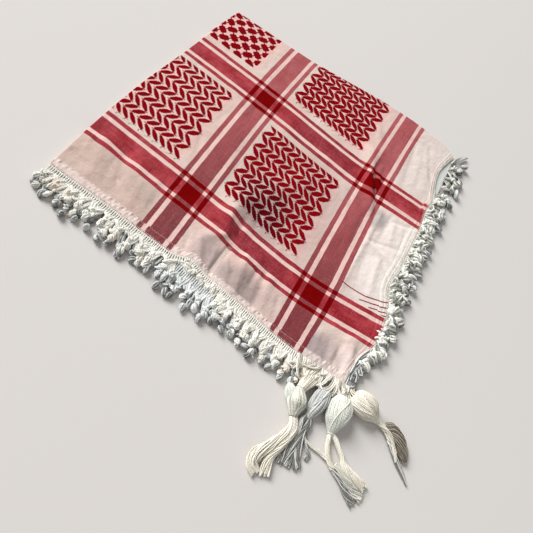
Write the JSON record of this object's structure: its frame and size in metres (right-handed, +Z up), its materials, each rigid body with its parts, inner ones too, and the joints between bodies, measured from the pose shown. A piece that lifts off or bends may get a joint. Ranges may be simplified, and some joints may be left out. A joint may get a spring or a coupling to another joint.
{
  "type": "keffiyeh headscarf",
  "caption": "Square woven cotton keffiyeh folded in quarters and laid flat, with a knotted fringe along its two hemmed sides and round threaded tassels at its corner",
  "frame": {"origin": "middle of the bounding box, on the plane the folded cloth lies on", "axes": "+Z up out of the table, +X along the near hem away from the first fold, -Y from the far fold to the near hem"},
  "size_m": [0.7762, 0.863, 0.034],
  "materials": {
    "top_layer": "woven cotton, cream ground with dark red stripes and figures",
    "hidden_layers": "woven cotton, off-white hems and reverse",
    "front_fringe_upper": "twisted cotton threads, greenish white",
    "front_fringe_lower": "twisted cotton threads, greenish white",
    "right_fringe_upper": "twisted cotton threads, greenish white",
    "right_fringe_lower": "twisted cotton threads, greenish white",
    "tassel_left": "bound cotton threads, cream",
    "tassel_back": "bound cotton threads, grey white",
    "tassel_middle": "bound cotton threads, greenish white",
    "tassel_right": "bound cotton threads, cream"
  },
  "bodies": {
    "root": {"top_layer": "top_layer", "hidden_layers": "hidden_layers", "front_fringe_upper": "front_fringe_upper", "front_fringe_lower": "front_fringe_lower", "right_fringe_upper": "right_fringe_upper", "right_fringe_lower": "right_fringe_lower", "tassel_left": "tassel_left", "tassel_back": "tassel_back", "tassel_middle": "tassel_middle", "tassel_right": "tassel_right"}
  },
  "joints": []
}
